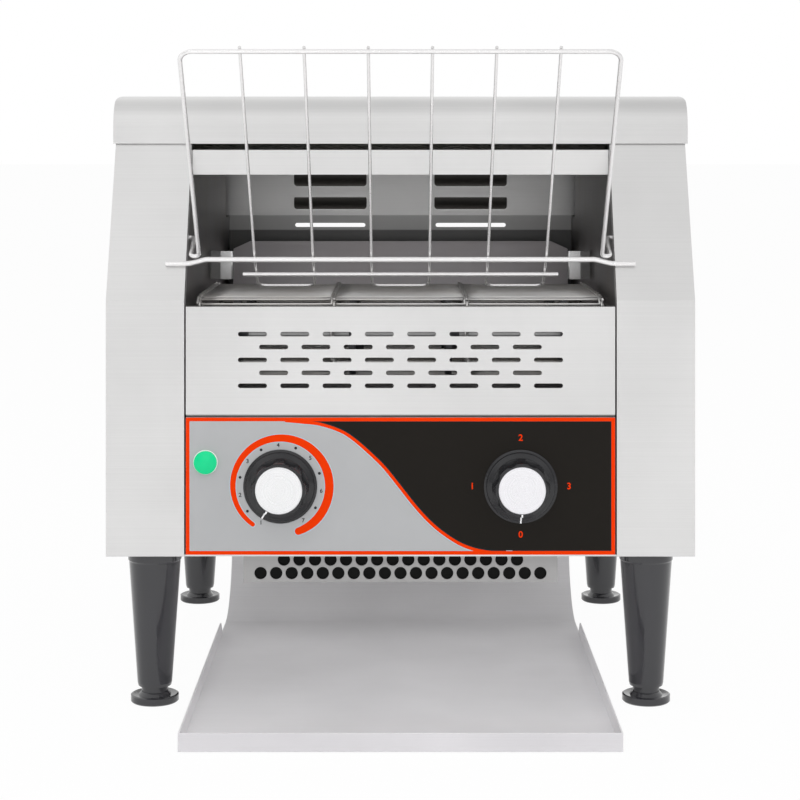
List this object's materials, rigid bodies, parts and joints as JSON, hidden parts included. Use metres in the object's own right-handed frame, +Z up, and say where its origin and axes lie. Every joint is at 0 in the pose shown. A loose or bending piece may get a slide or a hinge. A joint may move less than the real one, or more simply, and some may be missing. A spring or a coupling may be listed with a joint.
{
  "type": "conveyor toaster",
  "caption": "Countertop conveyor toaster with a hinged wire bread rack, a wire belt between banks of heaters, control knobs, levelling feet and a slide-out toast chute.",
  "frame": {"origin": "middle of the whole outline on the surface that the feet stand on", "axes": "+X to the right seen from the front, +Y from the front to the rear, +Z up"},
  "size_m": [0.371, 0.4634, 0.4113],
  "materials": {
    "stainless": "satin brushed",
    "inner_steel": "mill finish, heat toned",
    "bright_sheet": "bright reflector sheet",
    "belt_steel": "drawn wire",
    "bright_wire": "bright chrome plating",
    "shaft_steel": "ground",
    "sprocket_steel": "machined, dull",
    "bush_bronze": "machined",
    "overlay": "printed, semi-gloss",
    "black_plastic": "moulded, fine texture",
    "knob_plastic": "moulded, semi-gloss",
    "knob_cap": "spun, satin",
    "lamp_lens": "clear tinted",
    "quartz": "clear tube",
    "ceramic": "unglazed",
    "motor_metal": "satin",
    "leg_plastic": "moulded, glossy",
    "screw_steel": "zinc plated"
  },
  "bodies": {
    "casing": {"side_panel_left": "stainless", "side_panel_right": "stainless", "base_plate": "stainless", "top_cover": "stainless", "rear_panel": "stainless", "hood_strip": "stainless", "slotted_panel": "stainless", "control_panel": "stainless", "control_overlay": "overlay", "inner_wall_left": "inner_steel", "inner_wall_right": "inner_steel", "electrics_shelf": "inner_steel", "wire_belt": "belt_steel", "shaft_bushes": "bush_bronze", "belt_guides": "inner_steel", "upper_heaters": "quartz", "upper_heater_caps": "ceramic", "lower_heaters": "quartz", "lower_heater_caps": "ceramic", "upper_reflector": "bright_sheet", "lower_reflector": "bright_sheet", "gear_motor": "motor_metal", "drive_chain": "sprocket_steel", "fan_frame": "black_plastic", "terminal_block": "ceramic", "cable_gland": "black_plastic", "speed_control": "black_plastic", "selector_switch": "black_plastic", "lamp_body": "black_plastic", "lamp_lens": "lamp_lens", "deflector": "inner_steel", "chute_guard": "stainless", "leg_front_left": "leg_plastic", "leg_front_right": "leg_plastic", "leg_rear_left": "leg_plastic", "leg_rear_right": "leg_plastic", "leg_screws": "screw_steel", "rear_screws": "screw_steel"},
    "rack": {"rack_frame": "bright_wire", "rack_bars": "bright_wire", "rack_slide_wires": "bright_wire"},
    "rear_drive": {"rear_shaft": "shaft_steel", "rear_sprockets": "sprocket_steel", "drive_sprocket": "sprocket_steel"},
    "front_drive": {"front_shaft": "shaft_steel", "front_sprockets": "sprocket_steel"},
    "motor_drive": {"motor_sprocket": "sprocket_steel"},
    "fan": {"fan_rotor": "black_plastic"},
    "speed_dial": {"speed_spindle": "shaft_steel", "speed_knob": "knob_plastic", "speed_knob_cap": "knob_cap"},
    "selector_dial": {"selector_spindle": "shaft_steel", "selector_knob": "knob_plastic", "selector_knob_cap": "knob_cap"},
    "chute": {"toast_chute": "stainless"},
    "foot_front_left": {"foot_front_left": "leg_plastic"},
    "foot_front_right": {"foot_front_right": "leg_plastic"},
    "foot_rear_left": {"foot_rear_left": "leg_plastic"},
    "foot_rear_right": {"foot_rear_right": "leg_plastic"}
  },
  "joints": [
    {"name": "rack_tilt", "type": "hinge", "parent": "casing", "child": "rack", "pos_m": [0, -0.09526, 0.296], "axis": [-1, 0, 0], "range_deg": [0, 55]},
    {"name": "rear_shaft_turn", "type": "hinge", "parent": "casing", "child": "rear_drive", "pos_m": [0, 0.02328, 0.23153], "axis": [-1, 0, 0], "continuous": true},
    {"name": "front_shaft_turn", "type": "hinge", "parent": "casing", "child": "front_drive", "pos_m": [0, -0.09233, 0.23153], "axis": [-1, 0, 0], "continuous": true},
    {"name": "motor_turn", "type": "hinge", "parent": "casing", "child": "motor_drive", "pos_m": [0, -0.02533, 0.1387], "axis": [-1, 0, 0], "continuous": true},
    {"name": "fan_turn", "type": "hinge", "parent": "casing", "child": "fan", "pos_m": [-0.06, -0.02032, 0.11], "axis": [0, 0, 1], "continuous": true},
    {"name": "speed_turn", "type": "hinge", "parent": "casing", "child": "speed_dial", "pos_m": [-0.075, -0.12532, 0.142], "axis": [0, 1, 0], "range_deg": [0, 300]},
    {"name": "selector_turn", "type": "hinge", "parent": "casing", "child": "selector_dial", "pos_m": [0.075, -0.12532, 0.142], "axis": [0, 1, 0], "range_deg": [0, 270]},
    {"name": "chute_slide", "type": "slide", "parent": "casing", "child": "chute", "axis": [0, -1, 0], "range_m": [0, 0.25]},
    {"name": "foot_front_left_screw", "type": "slide", "parent": "casing", "child": "foot_front_left", "axis": [0, 0, -1], "range_m": [0, 0.012]},
    {"name": "foot_front_right_screw", "type": "slide", "parent": "casing", "child": "foot_front_right", "axis": [0, 0, -1], "range_m": [0, 0.012]},
    {"name": "foot_rear_left_screw", "type": "slide", "parent": "casing", "child": "foot_rear_left", "axis": [0, 0, -1], "range_m": [0, 0.012]},
    {"name": "foot_rear_right_screw", "type": "slide", "parent": "casing", "child": "foot_rear_right", "axis": [0, 0, -1], "range_m": [0, 0.012]}
  ],
  "couplings": [
    {"joint": "front_shaft_turn", "follows": "rear_shaft_turn", "ratio": 1},
    {"joint": "motor_turn", "follows": "rear_shaft_turn", "ratio": 1}
  ]
}
